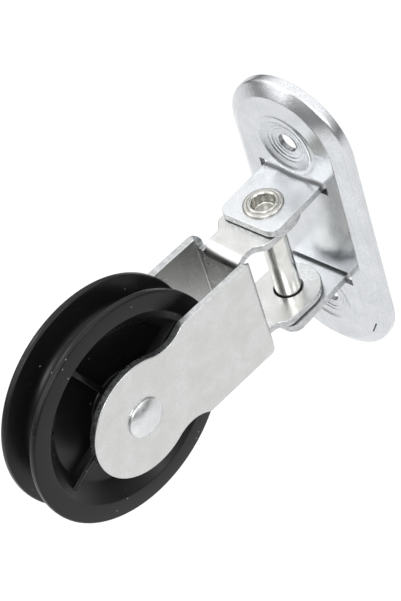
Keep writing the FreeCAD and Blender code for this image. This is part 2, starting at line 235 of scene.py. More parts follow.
@dataclass
class Blank:
    """A flat sheet before it is folded or pressed.

    Attributes:
        outline: Outer loop.
        holes: Loops that are punched out.
        lines: Runs along which the sheet bends.
    """

    outline: list[Point]
    holes: list[list[Point]] = field(default_factory=list)
    lines: list[list[Point]] = field(default_factory=list)

    def holds(self, spot: Point) -> bool:
        """Whether a spot lies on the sheet."""
        return inside(spot, self.outline) and not any(inside(spot, hole) for hole in self.holes)

    def triangles(self) -> tuple[list[Point], list[tuple[int, ...]]]:
        """Divides the sheet along its bend lines.

        Returns:
            The points and the triangles between them.
        """
        points: list[Vector] = []
        edges: list[tuple[int, int]] = []
        for loop in [self.outline] + self.holes:
            first, count = len(points), len(loop)
            points += [Vector(p) for p in loop]
            edges += [(first + i, first + (i + 1) % count) for i in range(count)]
        for run in self.lines:
            first = len(points)
            points += [Vector(p) for p in run]
            edges += [(first + i, first + i + 1) for i in range(len(run) - 1)]
        spots, _, faces, *_ = delaunay_2d_cdt(points, edges, [], 0, SPOT_GAP)
        kept = []
        for face in faces:
            middle = sum((spots[i] for i in face), Vector((0.0, 0.0))) / 3
            if self.holds((middle.x, middle.y)):
                kept.append(tuple(face))
        return [(p.x, p.y) for p in spots], kept

    def folded(self, mesh: BMesh, thickness: float, place: Fold, walled: Spot = lambda spot: True) -> None:
        """Adds the sheet to a mesh as two skins and the cut walls between them.

        Args:
            mesh: Mesh that takes the faces.
            thickness: Sheet thickness.
            place: Gives the point in space of a blank point at a depth in the sheet.
            walled: Tells whether the edge at a blank point gets a wall.
        """
        spots, faces = self.triangles()
        front = [mesh.verts.new(place(a, b, 0.0) * MM) for a, b in spots]
        back = [mesh.verts.new(place(a, b, thickness) * MM) for a, b in spots]
        border: dict[tuple[int, int], None] = {}
        for face in faces:
            mesh.faces.new([front[i] for i in face])
            mesh.faces.new([back[i] for i in reversed(face)])
            for i, j in zip(face, face[1:] + face[:1]):
                if (j, i) in border:
                    del border[(j, i)]
                else:
                    border[(i, j)] = None
        for i, j in border:
            middle = ((spots[i][0] + spots[j][0]) / 2, (spots[i][1] + spots[j][1]) / 2)
            if walled(middle):
                wall = mesh.faces.new((front[j], front[i], back[i], back[j]))
                wall.material_index = Skin.CUT.value
        for vertex in [v for v in mesh.verts if not v.link_faces]:
            mesh.verts.remove(vertex)


def new_object(name: str, mesh: bpy.types.Mesh) -> Piece:
    """Links a new object at the origin.

    Args:
        name: Name of the piece.
        mesh: Its mesh.

    Returns:
        The object.
    """
    obj = bpy.data.objects.new(name, mesh)
    bpy.context.scene.collection.objects.link(obj)
    return obj


def made_plain(obj: Piece) -> None:
    """Turns the result of an object's modifiers into its plain mesh.

    Args:
        obj: The object, which loses its modifiers.
    """
    graph = bpy.context.evaluated_depsgraph_get()
    graph.update()
    plain = bpy.data.meshes.new_from_object(
        obj.evaluated_get(graph), preserve_all_data_layers=True, depsgraph=graph)
    old = obj.data
    obj.modifiers.clear()
    obj.data = plain
    bpy.data.meshes.remove(old)
    plain.name = obj.name


def level_flats(data: bpy.types.Mesh) -> None:
    """Gives a large flat face, and what runs on smoothly from it, that face's own normal.

    Args:
        data: The mesh to shade.
    """
    normals = [Vector(corner.vector) for corner in data.corner_normals]
    large = [face for face in data.polygons if face.area > FLAT_AREA * MM * MM]
    flats: dict[int, list[Vector]] = {}
    for face in large:
        for vertex in face.vertices:
            flats.setdefault(vertex, []).append(face.normal.copy())
    for index, corner in enumerate(data.loops):
        for normal in flats.get(corner.vertex_index, []):
            if normal.dot(normals[index]) > FLAT_COSINE:
                normals[index] = normal
    for face in large:
        for index in face.loop_indices:
            normals[index] = face.normal.copy()
    data.normals_split_custom_set(normals)


def settled(mesh: BMesh, name: str, materials: list[Material], edge_round: float) -> Piece:
    """Closes a mesh, joins its flat faces and rounds its sharp edges.

    Args:
        mesh: The faces of the piece; it is freed here.
        name: Name of the piece.
        materials: Materials in the order of the faces' material places.
        edge_round: Radius at the sharp edges.

    Returns:
        The finished object.
    """
    bmesh.ops.remove_doubles(mesh, verts=mesh.verts, dist=WELD)
    bmesh.ops.recalc_face_normals(mesh, faces=mesh.faces)
    bmesh.ops.dissolve_limit(mesh, angle_limit=JOIN_ANGLE, use_dissolve_boundaries=False,
                             verts=mesh.verts, edges=mesh.edges, delimit={"MATERIAL"})
    for face in mesh.faces:
        face.smooth = True
    data = bpy.data.meshes.new(name)
    mesh.to_mesh(data)
    mesh.free()
    for material in materials:
        data.materials.append(material)
    obj = new_object(name, data)
    bevel = obj.modifiers.new("edge_round", "BEVEL")
    bevel.width = edge_round * MM
    bevel.segments = 2
    bevel.limit_method = "ANGLE"
    bevel.angle_limit = BEVEL_ANGLE
    bevel.use_clamp_overlap = False
    bevel.loop_slide = False
    bevel.harden_normals = True
    made_plain(obj)
    level_flats(obj.data)
    return obj


# Node trees


class Graph:
    """A node tree with short ways to add and join its nodes."""

    def __init__(self, tree: Tree) -> None:
        """Takes the tree to work on."""
        self.tree = tree

    def add(self, kind: str, inputs: dict[Union[str, int], Any], **settings: Any) -> bpy.types.Node:
        """Adds one node.

        Args:
            kind: Blender's name of the node type.
            inputs: Values or output sockets by input name or place.
            **settings: Properties of the node.

        Returns:
            The node.
        """
        node = self.tree.nodes.new(kind)
        for key, value in settings.items():
            setattr(node, key, value)
        for key, value in inputs.items():
            if isinstance(value, Socket):
                self.tree.links.new(value, node.inputs[key])
            else:
                node.inputs[key].default_value = value
        return node

    def math(self, operation: str, first: Any, second: Any = 0.0) -> Socket:
        """The outcome of one step of arithmetic."""
        return self.add("ShaderNodeMath", {0: first, 1: second}, operation=operation).outputs[0]

    def plus(self, first: Socket, second: Socket, weight: float) -> Socket:
        """The first value with a share of the second added."""
        return self.math("ADD", first, self.math("MULTIPLY", second, weight))

    def vector(self, operation: str, first: Any, second: Any) -> Any:
        """The outputs of one step of vector arithmetic."""
        inputs = {0: first, "Scale" if operation == "SCALE" else 1: second}
        return self.add("ShaderNodeVectorMath", inputs, operation=operation).outputs

    def spread(self, value: Socket, span: Point, to: Point = (0.0, 1.0)) -> Socket:
        """A value's place in one span, carried over to another span."""
        inputs = dict(enumerate((value, *span, *to)))
        return self.add("ShaderNodeMapRange", inputs).outputs[0]

    def blend(self, share: Socket, first: Any, second: Any) -> Socket:
        """A blend of two colours, with the share of the second."""
        ends = [end if isinstance(end, Socket) else (*end, 1.0) for end in (first, second)]
        return self.add("ShaderNodeMix", {0: share, 6: ends[0], 7: ends[1]}, data_type="RGBA").outputs[2]

    def noise(self, vector: Socket, scale: Socket, **others: float) -> Socket:
        """The value of a noise field, whose other inputs go by their names."""
        inputs = {"Vector": vector, "Scale": scale, **others}
        return self.add("ShaderNodeTexNoise", inputs).outputs["Fac"]


class Group(Graph):
    """A node group, from its named inputs to its named outputs."""

    def __init__(self, name: str, kind: TreeKind, inputs: dict[str, Any]) -> None:
        """Starts the group.

        Args:
            name: Name of the group.
            kind: Kind of tree.
            inputs: The default of each number, and the socket kind of any other input.
        """
        super().__init__(bpy.data.node_groups.new(name, kind.value))
        numbers = {float: SocketKind.FLOAT, int: SocketKind.INT}
        for label, default in inputs.items():
            socket = numbers.get(type(default), default)
            made = self.tree.interface.new_socket(label, in_out="INPUT", socket_type=socket.value)
            if socket is not default:
                made.default_value = default
        self.given = self.add("NodeGroupInput", {}).outputs

    def close(self, kind: SocketKind, **outputs: Socket) -> Tree:
        """Ends the group.

        Args:
            kind: Kind of the output sockets.
            **outputs: What goes out, by the outputs' names.

        Returns:
            The finished tree.
        """
        for label in outputs:
            self.tree.interface.new_socket(label, in_out="OUTPUT", socket_type=kind.value)
        self.add("NodeGroupOutput", outputs)
        return self.tree

    def close_dressed(self, geometry: Socket) -> Tree:
        """Ends a geometry group with real faces in the finish that it is given.

        Args:
            geometry: What the group has made.

        Returns:
            The finished tree.
        """
        real = self.add("GeometryNodeRealizeInstances", {"Geometry": geometry})
        dressed = self.add("GeometryNodeSetMaterial", {
            "Geometry": real.outputs[0], "Material": self.given["Finish"]})
        return self.close(SocketKind.GEOMETRY, Geometry=dressed.outputs[0])


class Effects:
    """The shared surface effects, each a shader node group that is made once."""

    def __init__(self) -> None:
        """Makes the three groups."""
        self.clouds = self.plating_clouds()
        self.hairlines = self.handling_hairlines()
        self.dust = self.dust_specks()

    @staticmethod
    def plating_clouds() -> Tree:
        """Soft clouds, a fine grain and the upright lines of rolled sheet.

        Returns:
            The group, with the outputs Cloud, Grain and Lines.
        """
        group = Group("plating_clouds", TreeKind.SHADER, {
            "Vector": SocketKind.VECTOR, "Cloud Scale": 200.0, "Grain Scale": 2500.0})
        place, fine = group.given["Vector"], group.given["Grain Scale"]
        cloud = group.noise(place, group.given["Cloud Scale"], Detail=6.0, Roughness=0.62, Distortion=0.5)
        grain = group.noise(place, fine, Detail=3.0, Roughness=0.6)
        drawn = group.add("ShaderNodeMapping", {"Vector": place, "Scale": (1.0, 1.0, 0.025)})
        lines = group.noise(drawn.outputs[0], fine, Detail=2.0)
        return group.close(SocketKind.FLOAT, Cloud=group.spread(cloud, (0.32, 0.68)), Grain=grain,
                           Lines=group.spread(lines, (0.5, 0.7)))

    @staticmethod
    def handling_hairlines() -> Tree:
        """Short fine scratches in patches.

        Returns:
            The group, with the output Mask.
        """
        group = Group("handling_hairlines", TreeKind.SHADER, {
            "Vector": SocketKind.VECTOR, "Scale": 2200.0, "Patch Scale": 120.0})
        place = group.given["Vector"]
        drawn = group.add("ShaderNodeMapping", {
            "Vector": place, "Rotation": (0.5, 0.9, 0.3), "Scale": (0.035, 1.0, 1.0)})
        lines = group.noise(drawn.outputs[0], group.given["Scale"], Detail=1.0)
        patch = group.noise(place, group.given["Patch Scale"], Detail=2.0)
        fine, where = group.spread(lines, (0.68, 0.74)), group.spread(patch, (0.48, 0.62))
        return group.close(SocketKind.FLOAT, Mask=group.math("MULTIPLY", fine, where))

    @staticmethod
    def dust_specks() -> Tree:
        """Tiny scattered specks.

        Returns:
            The group, with the output Mask.
        """
        group = Group("dust_specks", TreeKind.SHADER, {
            "Vector": SocketKind.VECTOR, "Scale": 500.0, "Size": 0.12, "Bare Share": 0.82})
        cells = group.add("ShaderNodeTexVoronoi", {
            "Vector": group.given["Vector"], "Scale": group.given["Scale"]}).outputs
        near = group.math("LESS_THAN", cells["Distance"], group.given["Size"])
        parts = group.add("ShaderNodeSeparateColor", {0: cells["Color"]})
        chosen = group.math("GREATER_THAN", parts.outputs[0], group.given["Bare Share"])
        return group.close(SocketKind.FLOAT, Mask=group.math("MULTIPLY", near, chosen))


class Surface(Graph):
    """The graph of one material, with the shared effects at hand."""

    def __init__(self, material: Material, effects: Effects) -> None:
        """Starts an empty graph from the object coordinates.

        Args:
            material: The material to lay out.
            effects: The shared effect groups.
        """
        material.use_nodes = True
        material.node_tree.nodes.clear()
        super().__init__(material.node_tree)
        self.effects = effects
        self.place = self.add("ShaderNodeTexCoord", {}).outputs["Object"]

    def effect(self, tree: Tree, values: dict[str, float]) -> Any:
        """The outputs of a shared effect, with this material's own values."""
        return self.add("ShaderNodeGroup", {"Vector": self.place, **values}, node_tree=tree).outputs

    def clouds(self, scales: Point) -> Any:
        """The outputs of the plating clouds, at the scales of clouds and grains."""
        return self.effect(self.effects.clouds, {"Cloud Scale": scales[0], "Grain Scale": scales[1]})

    def bumped(self, height: Socket, distance: float) -> Socket:
        """The normal of a surface with that height, in units of a distance in millimetres."""
        inputs = {"Strength": 1.0, "Distance": distance * MM, "Height": height}
        return self.add("ShaderNodeBump", inputs).outputs[0]


# Finishes


@dataclass(frozen=True)
class Finish:
    """What every finish has.

    Attributes:
        name: Name of the material.
    """

    name: str

    def shade(self, surface: Surface) -> dict[str, Any]:
        """The inputs of the finish's shader, which each kind of finish lays out."""
        raise NotImplementedError

    def material(self, effects: Effects) -> Material:
        """Makes the material.

        Args:
            effects: The shared effect groups.

        Returns:
            The material.
        """
        material = bpy.data.materials.new(self.name)
        surface = Surface(material, effects)
        shader = surface.add("ShaderNodeBsdfPrincipled", self.shade(surface))
        surface.add("ShaderNodeOutputMaterial", {"Surface": shader.outputs[0]})
        return material


@dataclass(frozen=True)
class ScratchMark:
    """One dark scratch at a fixed place of a piece.

    Attributes:
        start: One end, in millimetres.
        stop: Other end, in millimetres.
        width: Width of the scratch in millimetres.
        tone: Colour of its ground.
        core: Shares of the width, out from the middle, between which it fades.
    """

    start: Place
    stop: Place
    width: float
    tone: Colour
    core: Point = (0.25, 0.5)

    def mask(self, surface: Surface) -> Socket:
        """Marks the scratch on the surface.

        Args:
            surface: Graph of the material.

        Returns:
            One on the scratch and nothing beside it.
        """
        start, run = Vector(self.start) * MM, (Vector(self.stop) - Vector(self.start)) * MM
        way = tuple(run.normalized())
        away = surface.vector("SUBTRACT", surface.place, tuple(start))["Vector"]
        along = surface.vector("DOT_PRODUCT", away, way)["Value"]
        foot = surface.vector("SCALE", way, along)["Vector"]
        aside = surface.vector("DISTANCE", away, foot)["Value"]
        fade = (self.width * MM * self.core[0], self.width * MM * self.core[1])
        near = surface.spread(aside, fade, (1.0, 0.0))
        after = surface.math("GREATER_THAN", along, 0.0)
        before = surface.math("LESS_THAN", along, run.length)
        return surface.math("MULTIPLY", near, surface.math("MULTIPLY", after, before))


@dataclass(frozen=True)
class PlatedSteel(Finish):
    """Zinc or nickel on steel: clouds in the plating, a fine grain and a few hairlines.

    Attributes:
        bright: Colour of clear plating.
        dim: Colour of clouded plating.
        gloss: Roughness of clear and of clouded plating.
        scales: Clouds and grains in a metre.
        tooth: Height of the grain in millimetres.
        speckle: How much the grain's pits darken.
        relief: Depth of the clouds' waves in millimetres.
        scuff: How much a hairline roughens.
        rolling: How much the sheet's rolling lines darken.
        scratches: Single scratches at fixed places.
        pits: Grain values between which pits begin and are full.
        pit_tone: Share of the clouded colour that is left in a pit.
        grain_gloss: How much the grain takes from and adds to the roughness.
    """

    bright: Colour
    dim: Colour
    gloss: Point
    scales: Point
    tooth: float
    speckle: float
    relief: float = 0.004
    scuff: float = 0.12
    rolling: float = 0.0
    scratches: tuple[ScratchMark, ...] = ()
    pits: Point = (0.42, 0.68)
    pit_tone: float = 0.55
    grain_gloss: Point = (-0.02, 0.02)

    def shade(self, surface: Surface) -> dict[str, Any]:
        """Lays out the plating.

        Args:
            surface: Graph of the material.

        Returns:
            Inputs of its shader.
        """
        clouds = surface.clouds(self.scales)
        cloud, grain = clouds["Cloud"], clouds["Grain"]
        hairline = surface.effect(surface.effects.hairlines, {})["Mask"]
        colour = surface.blend(cloud, self.bright, self.dim)
        pitted = surface.spread(grain, self.pits, (0.0, self.speckle))
        if self.rolling > 0:
            rolled = surface.math("MULTIPLY", clouds["Lines"], self.rolling)
            pitted = surface.math("MAXIMUM", pitted, rolled)
        colour = surface.blend(pitted, colour, Vector(self.dim) * self.pit_tone)
        for scratch in self.scratches:
            colour = surface.blend(scratch.mask(surface), colour, scratch.tone)
        rough = surface.spread(cloud, CLOUD_SPAN, self.gloss)
        rough = surface.math("ADD", rough, surface.spread(grain, GRAIN_SPAN, self.grain_gloss))
        rough = surface.plus(rough, hairline, self.scuff)
        height = surface.plus(surface.math("MULTIPLY", cloud, self.relief), grain, self.tooth)
        return {"Base Color": colour, "Metallic": 1.0, "Roughness": rough,
                "Normal": surface.bumped(height, 1.0)}


@dataclass(frozen=True)
class MouldedNylon(Finish):
    """Black nylon with a satin skin, fine rubbed lines and a little dust.

    Attributes:
        body: Colour of the moulding.
        worn: Colour where it is rubbed.
        speck: Colour of dust.
        satin: Lowest and highest roughness.
        scales: Clouds and grains in a metre.
        dust: Dust cells in a metre, and the size of a speck in its cell.
        rub: How much a rubbed line takes of the worn colour.
        scuff: How much a rubbed line roughens.
        wave: Height of the clouds as a share of the grain's.
        tooth: Height of the grain in millimetres.
        sheen: Level of the mirrored light.
    """

    body: Colour
    worn: Colour
    speck: Colour
    satin: Point
    scales: Point
    dust: Point
    rub: float = 0.6
    scuff: float = 0.08
    wave: float = 0.4
    tooth: float = 0.006
    sheen: float = 0.24

    def shade(self, surface: Surface) -> dict[str, Any]:
        """Lays out the nylon.

        Args:
            surface: Graph of the material.

        Returns:
            Inputs of its shader.
        """
        clouds = surface.clouds(self.scales)
        rubbed = surface.effect(surface.effects.hairlines, {})["Mask"]
        dusty = surface.effect(surface.effects.dust, {"Scale": self.dust[0], "Size": self.dust[1]})["Mask"]
        colour = surface.blend(surface.math("MULTIPLY", rubbed, self.rub), self.body, self.worn)
        colour = surface.blend(dusty, colour, self.speck)
        rough = surface.plus(surface.spread(clouds["Cloud"], CLOUD_SPAN, self.satin), rubbed, self.scuff)
        height = surface.plus(clouds["Grain"], clouds["Cloud"], self.wave)
        return {"Base Color": colour, "Roughness": rough, "Specular IOR Level": self.sheen,
                "Normal": surface.bumped(height, self.tooth)}


@dataclass(frozen=True)
class FloorPaper(Finish):
    """Pale matt paper under the part.

    Attributes:
        tones: Its two tones.
        scales: Clouds and grains in a metre.
        matt: Lowest and highest roughness.
        sheen: Level of the mirrored light.
    """

    tones: tuple[Colour, Colour]
    scales: Point = (6.0, 900.0)
    matt: Point = (0.85, 0.95)
    sheen: float = 0.1

    def shade(self, surface: Surface) -> dict[str, Any]:
        """Lays out the paper.

        Args:
            surface: Graph of the material.

        Returns:
            Inputs of its shader.
        """
        clouds = surface.clouds(self.scales)
        colour = surface.blend(clouds["Cloud"], *self.tones)
        rough = surface.spread(clouds["Grain"], GRAIN_SPAN, self.matt)
        return {"Base Color": colour, "Roughness": rough, "Specular IOR Level": self.sheen}


class Look(Enum):
    """The finishes of the part and of the floor."""

    BRIGHT_ZINC = PlatedSteel(
        "bright_zinc_plating", bright=(0.68, 0.695, 0.71), dim=(0.60, 0.615, 0.635), gloss=(0.18, 0.27),
        scales=(160.0, 2600.0), tooth=0.022, speckle=0.40, rolling=0.34,
        scratches=(ScratchMark((14.6, -4.2, -30.0), (12.8, -4.3, -33.7), 0.55, (0.03, 0.03, 0.035)),))
    STRIP_ZINC = PlatedSteel(
        "strip_zinc_plating", bright=(0.70, 0.715, 0.73), dim=(0.63, 0.645, 0.66), gloss=(0.29, 0.37),
        scales=(180.0, 2800.0), tooth=0.014, speckle=0.25)
    PUNCHED_ZINC = PlatedSteel(
        "punched_zinc_edge", bright=(0.36, 0.365, 0.375), dim=(0.15, 0.155, 0.165), gloss=(0.22, 0.38),
        scales=(700.0, 5200.0), tooth=0.014, speckle=0.40, relief=0.012, scuff=0.10)
    SATIN_ZINC = PlatedSteel(
        "satin_zinc_plating", bright=(0.615, 0.62, 0.618), dim=(0.56, 0.56, 0.543), gloss=(0.25, 0.35),
        scales=(210.0, 3200.0), tooth=0.005, speckle=0.22, relief=0.003, scuff=0.03)
    CUT_ZINC = PlatedSteel(
        "sheared_zinc_edge", bright=(0.60, 0.61, 0.615), dim=(0.38, 0.39, 0.40), gloss=(0.20, 0.40),
        scales=(900.0, 5200.0), tooth=0.014, speckle=0.45, relief=0.012, scuff=0.10)
    NICKEL = PlatedSteel(
        "warm_nickel_rivet", bright=(0.73, 0.728, 0.71), dim=(0.60, 0.597, 0.575), gloss=(0.16, 0.27),
        scales=(300.0, 3000.0), tooth=0.005, speckle=0.15)
    # A darker, slightly warmer copy of the rivet nickel for the rolled end and the hollow: the darkening is
    # painted shade
    NICKEL_PAINTED_SHADE = PlatedSteel(
        "nickel_end_painted_shade", bright=(0.55, 0.545, 0.52), dim=(0.43, 0.424, 0.395), gloss=(0.22, 0.34),
        scales=(300.0, 3000.0), tooth=0.008, speckle=0.30)
    AXLE_ZINC = PlatedSteel(
        "axle_zinc_plating", bright=(0.72, 0.73, 0.73), dim=(0.60, 0.61, 0.62), gloss=(0.24, 0.36),
        scales=(320.0, 3000.0), tooth=0.006, speckle=0.20, relief=0.005)
    NYLON = MouldedNylon(
        "black_moulded_nylon", body=(0.0035, 0.0035, 0.004), worn=(0.03, 0.03, 0.032),
        speck=(0.32, 0.32, 0.31), satin=(0.26, 0.36), scales=(90.0, 5200.0), dust=(560.0, 0.085))
    PAPER = FloorPaper("floor_paper", tones=((0.69, 0.69, 0.69), (0.675, 0.675, 0.68)))


Finishes = dict[Look, Material]


def made_finishes() -> Finishes:
    """Makes every material once, by its look."""
    effects = Effects()
    return {look: look.value.material(effects) for look in Look}


# Turned and repeated shapes


class Turning:
    """Geometry nodes that turn a half section about the X axis."""

    def __init__(self) -> None:
        """Builds the tree: a grid whose points are taken round the axis."""
        group = Group("turned_section", TreeKind.GEOMETRY, {
            "Geometry": SocketKind.GEOMETRY, "Segments": 96, "Section Points": 8,
            "Join Distance": 1e-6, "Finish": SocketKind.MATERIAL})
        segments, count = group.given["Segments"], group.given["Section Points"]
        columns = group.math("ADD", segments, 1.0)
        grid = group.add("GeometryNodeMeshGrid", {"Vertices X": columns, "Vertices Y": count})
        index = group.add("GeometryNodeInputIndex", {}).outputs[0]
        row = group.math("MODULO", index, count)
        column = group.math("FLOOR", group.math("DIVIDE", index, count))
        angle = group.math("MULTIPLY", group.math("DIVIDE", column, segments), math.tau)
        position = group.add("GeometryNodeInputPosition", {}).outputs[0]
        sample = group.add("GeometryNodeSampleIndex", {
            "Geometry": group.given["Geometry"], "Value": position, "Index": row},
            data_type="FLOAT_VECTOR", domain="POINT")
        parts = group.add("ShaderNodeSeparateXYZ", {0: sample.outputs["Value"]}).outputs
        place = group.add("ShaderNodeCombineXYZ", {
            "X": parts["X"],
            "Y": group.math("MULTIPLY", parts["Y"], group.math("COSINE", angle)),
            "Z": group.math("MULTIPLY", parts["Y"], group.math("SINE", angle))})
        moved = group.add("GeometryNodeSetPosition", {
            "Geometry": grid.outputs["Mesh"], "Position": place.outputs[0]})
        merged = group.add("GeometryNodeMergeByDistance", {
            "Geometry": moved.outputs[0], "Distance": group.given["Join Distance"]})
        self.tree = group.close_dressed(merged.outputs[0])

    def turned(self, name: str, section: list[Point], segments: int, finish: Material) -> Piece:
        """Turns one half section.

        Args:
            name: Name of the piece.
            section: Points along the axis and out from it, from end to end.
            segments: Steps round the axis.
            finish: Material of the piece.

        Returns:
            The turned object, about the X axis.
        """
        data = bpy.data.meshes.new(name)
        steps = [(i, i + 1) for i in range(len(section) - 1)]
        data.from_pydata([(x * MM, r * MM, 0.0) for x, r in section], steps, [])
        obj = new_object(name, data)
        run_tree(obj, self.tree, {"Segments": segments, "Section Points": len(section), "Finish": finish})
        return obj


class RibRing:
    """Geometry nodes that set copies of a rib round the X axis."""

    def __init__(self) -> None:
        """Builds the tree: instances on points, each turned on by its index."""
        group = Group("rib_ring", TreeKind.GEOMETRY, {
            "Geometry": SocketKind.GEOMETRY, "Count": 4, "First Angle": 0.0, "Finish": SocketKind.MATERIAL})
        points = group.add("GeometryNodePoints", {"Count": group.given["Count"]})
        index = group.add("GeometryNodeInputIndex", {}).outputs[0]
        step = group.math("DIVIDE", math.tau, group.given["Count"])
        angle = group.math("ADD", group.given["First Angle"], group.math("MULTIPLY", index, step))
        turn = group.add("FunctionNodeAxisAngleToRotation", {"Axis": (1.0, 0.0, 0.0), "Angle": angle})
        ring = group.add("GeometryNodeInstanceOnPoints", {
            "Points": points.outputs[0], "Instance": group.given["Geometry"],
            "Rotation": turn.outputs[0]})
        self.tree = group.close_dressed(ring.outputs[0])


def run_tree(obj: Piece, tree: Tree, values: dict[str, Any]) -> None:
    """Runs a geometry tree on an object and keeps its result as a plain mesh.

    Args:
        obj: The object that takes the tree.
        tree: The geometry tree.
        values: Input values by name.
    """
    modifier = obj.modifiers.new(tree.name, "NODES")
    modifier.node_group = tree
    for item in tree.interface.items_tree:
        if item.item_type == "SOCKET" and item.in_out == "INPUT" and item.name in values:
            modifier[item.identifier] = values[item.name]
    made_plain(obj)


def outward(obj: Piece, place: Matrix) -> None:
    """Moves a turned mesh to its place, with its faces outwards and smooth.

    Args:
        obj: The turned object.
        place: Where it goes, in metres.
    """
    mesh = bmesh.new()
    mesh.from_mesh(obj.data)
    bmesh.ops.remove_doubles(mesh, verts=mesh.verts, dist=WELD)
    bmesh.ops.recalc_face_normals(mesh, faces=mesh.faces)
    mesh.transform(place)
    for face in mesh.faces:
        face.smooth = True
    mesh.to_mesh(obj.data)
    mesh.free()
    obj.data.set_sharp_from_angle(angle=CREASE_ANGLE)


def mounted(obj: Piece, body: Body, node: str) -> None:
    """Puts a finished piece on its body in place of a node and reports it.

    Args:
        obj: The finished piece.
        body: Body that it rides on.
        node: Node that it stands for.
    """
    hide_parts(node)
    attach(obj, body.value)
    log.info("%s for %s on %s: %d faces", obj.name, node, body.value, len(obj.data.polygons))


# The part


@dataclass
class Assembly:
    """Pieces that ride together, with what makes and dresses them.

    Attributes:
        turning: The tree that turns sections.
        finishes: The part's materials.
    """

    turning: Turning
    finishes: Finishes

    def dress(self, *looks: Look) -> list[Material]:
        """The materials of some looks, in their order."""
        return [self.finishes[look] for look in looks]


@dataclass
class WallMount(Assembly):
    """The pressed plate, the bracket strip behind it and the hinge pin.

    The sizes are millimetres, named for the place that they measure.
    """

    plate_half_width: float = 18.0
    plate_spine: float = 26.0
    plate_depth: float = 4.6
    plate_sheet: float = 1.5
    rim_height: float = 2.4
    rim_round: float = 0.2
    shoulder_width: float = 3.5
    shoulder_round: float = 0.9
    inner_round: float = 0.1
    face_border: float = 13.6
    border_margin: float = 0.2
    screw_hole: float = 2.6
    dish_floor: float = 3.2
    dish_radius: float = 7.1
    dish_depth: float = 1.0
    dish_power: float = 1.644
    ripple: float = 0.085
    ripple_pitch: float = 1.05
    ripple_reach: float = 5.6
    lip_width: float = 2.2
    lip_rise: float = 0.4
    slot_half: float = 10.4
    slot_low: float = 13.65
    slot_high: float = 17.8
    strip_sheet: float = 2.0
    strip_half: float = 9.0
    strip_bend: float = 0.8
    bend_steps: int = 6
    line_overrun: float = 1.0
    lug_inner: float = 14.6
    upper_tip: float = 23.3
    lower_tip: float = 25.5
    lug_corner: float = 3.0
    pin_out: float = 16.2
    pin_radius: float = 3.4
    pin_fit: float = 0.05
    pin_head: float = 5.2
    pin_head_height: float = 1.5
    pin_ease: float = 0.5
    pin_seat_round: float = 0.1
    pin_segments: int = 96
    roll_height: float = 1.1
    ring: float = 4.1
    ring_dip: float = 0.4
    ring_bulge: float = 0.05
    mouth: float = 3.1
    mouth_round: float = 0.3
    hollow: float = 2.9
    hollow_depth: float = 3.4
    hollow_round: float = 0.5
    edge_round: float = 0.14

    def stadium(self, distance: float, steps: int = 40) -> list[Point]:
        """The loop at one distance from the plate's spine, across and up."""
        top = arc_points((0.0, self.plate_spine), distance, 0.0, 180.0, steps)
        return top + arc_points((0.0, -self.plate_spine), distance, 180.0, FULL_TURN, steps)

    def dish(self, across: float, up: float) -> float:
        """How far the pressed face lies behind its plane at a point.

        Args:
            across: Distance along X.
            up: Distance along Z.

        Returns:
            Depth, negative on the raised lip.
        """
        reach = math.hypot(across, abs(up) - self.plate_spine)
        if reach >= self.dish_radius + self.lip_width:
            return 0.0
        if reach >= self.dish_radius:
            share = (reach - self.dish_radius) / self.lip_width * 2 - 1
            return -self.lip_rise * (1 - share * share)
        share = min(1.0, (self.dish_radius - reach) / (self.dish_radius - self.dish_floor))
        wave = math.sin(math.tau * (self.ripple_reach - reach) / self.ripple_pitch)
        ripple = self.ripple * wave if reach < self.ripple_reach else 0.0
        return self.dish_depth * (1 - (1 - share) ** self.dish_power) + ripple

    def rim_section(self) -> list[Point]:
        """The section of rim and shoulder, as distance from the spine and depth.

        Returns:
            The run from the face's front round the rim to the face's back.
        """
        lean = math.atan2(self.shoulder_width, self.plate_depth - self.rim_height)
        inner_rim = self.rim_height - self.plate_sheet * math.tan(lean / 2)
        inner_edge = self.shoulder_width + self.plate_sheet * math.tan((math.pi / 2 - lean) / 2)
        half, sheet = self.plate_half_width, self.plate_sheet
        return rounded([
            (self.face_border, -self.plate_depth, 0.0),
            (half - self.shoulder_width, -self.plate_depth, self.shoulder_round),
            (half, -self.rim_height, self.shoulder_round),
            (half, 0.0, self.rim_round),
            (half - sheet, 0.0, self.rim_round),
            (half - sheet, -inner_rim, self.inner_round),
            (half - inner_edge, sheet - self.plate_depth, self.inner_round),
            (self.face_border, sheet - self.plate_depth, 0.0)], steps=6)

    def build_plate(self) -> Piece:
        """Builds the pressed plate.

        Returns:
            The plate.
        """
        holes, lines = [], []
        for side in BOTH_SIDES:
            low, high = side * self.slot_low, side * self.slot_high
            half = self.slot_half
            holes.append([(-half, low), (half, low), (half, high), (-half, high)])
            middle = (0.0, side * self.plate_spine)
            holes.append(circle(middle, self.screw_hole, steps=64))
            lines += [arc_points(middle, radius, 0.0, FULL_TURN, steps=64) for radius in DISH_RINGS]

        def place(across: float, up: float, deep: float) -> Vector:
            """A point of the pressed face."""
            return Vector((across, deep - self.plate_depth + self.dish(across, up), up))

        def walled(spot: Point) -> bool:
            """Whether a border edge belongs to a hole."""
            beyond = max(0.0, abs(spot[1]) - self.plate_spine)
            return math.hypot(spot[0], beyond) < self.face_border - self.border_margin

        mesh = bmesh.new()
        Blank(self.stadium(self.face_border), holes, lines).folded(mesh, self.plate_sheet, place, walled)
        loops = []
        for distance, deep in self.rim_section():
            loops.append([mesh.verts.new(Vector((x, deep, z)) * MM) for x, z in self.stadium(distance)])
        for first, second in zip(loops, loops[1:]):
            for i in range(len(first)):
                j = (i + 1) % len(first)
                mesh.faces.new((first[i], first[j], second[j], second[i]))
        looks = self.dress(Look.BRIGHT_ZINC, Look.PUNCHED_ZINC)
        return settled(mesh, "plate_pressing", looks, self.edge_round)

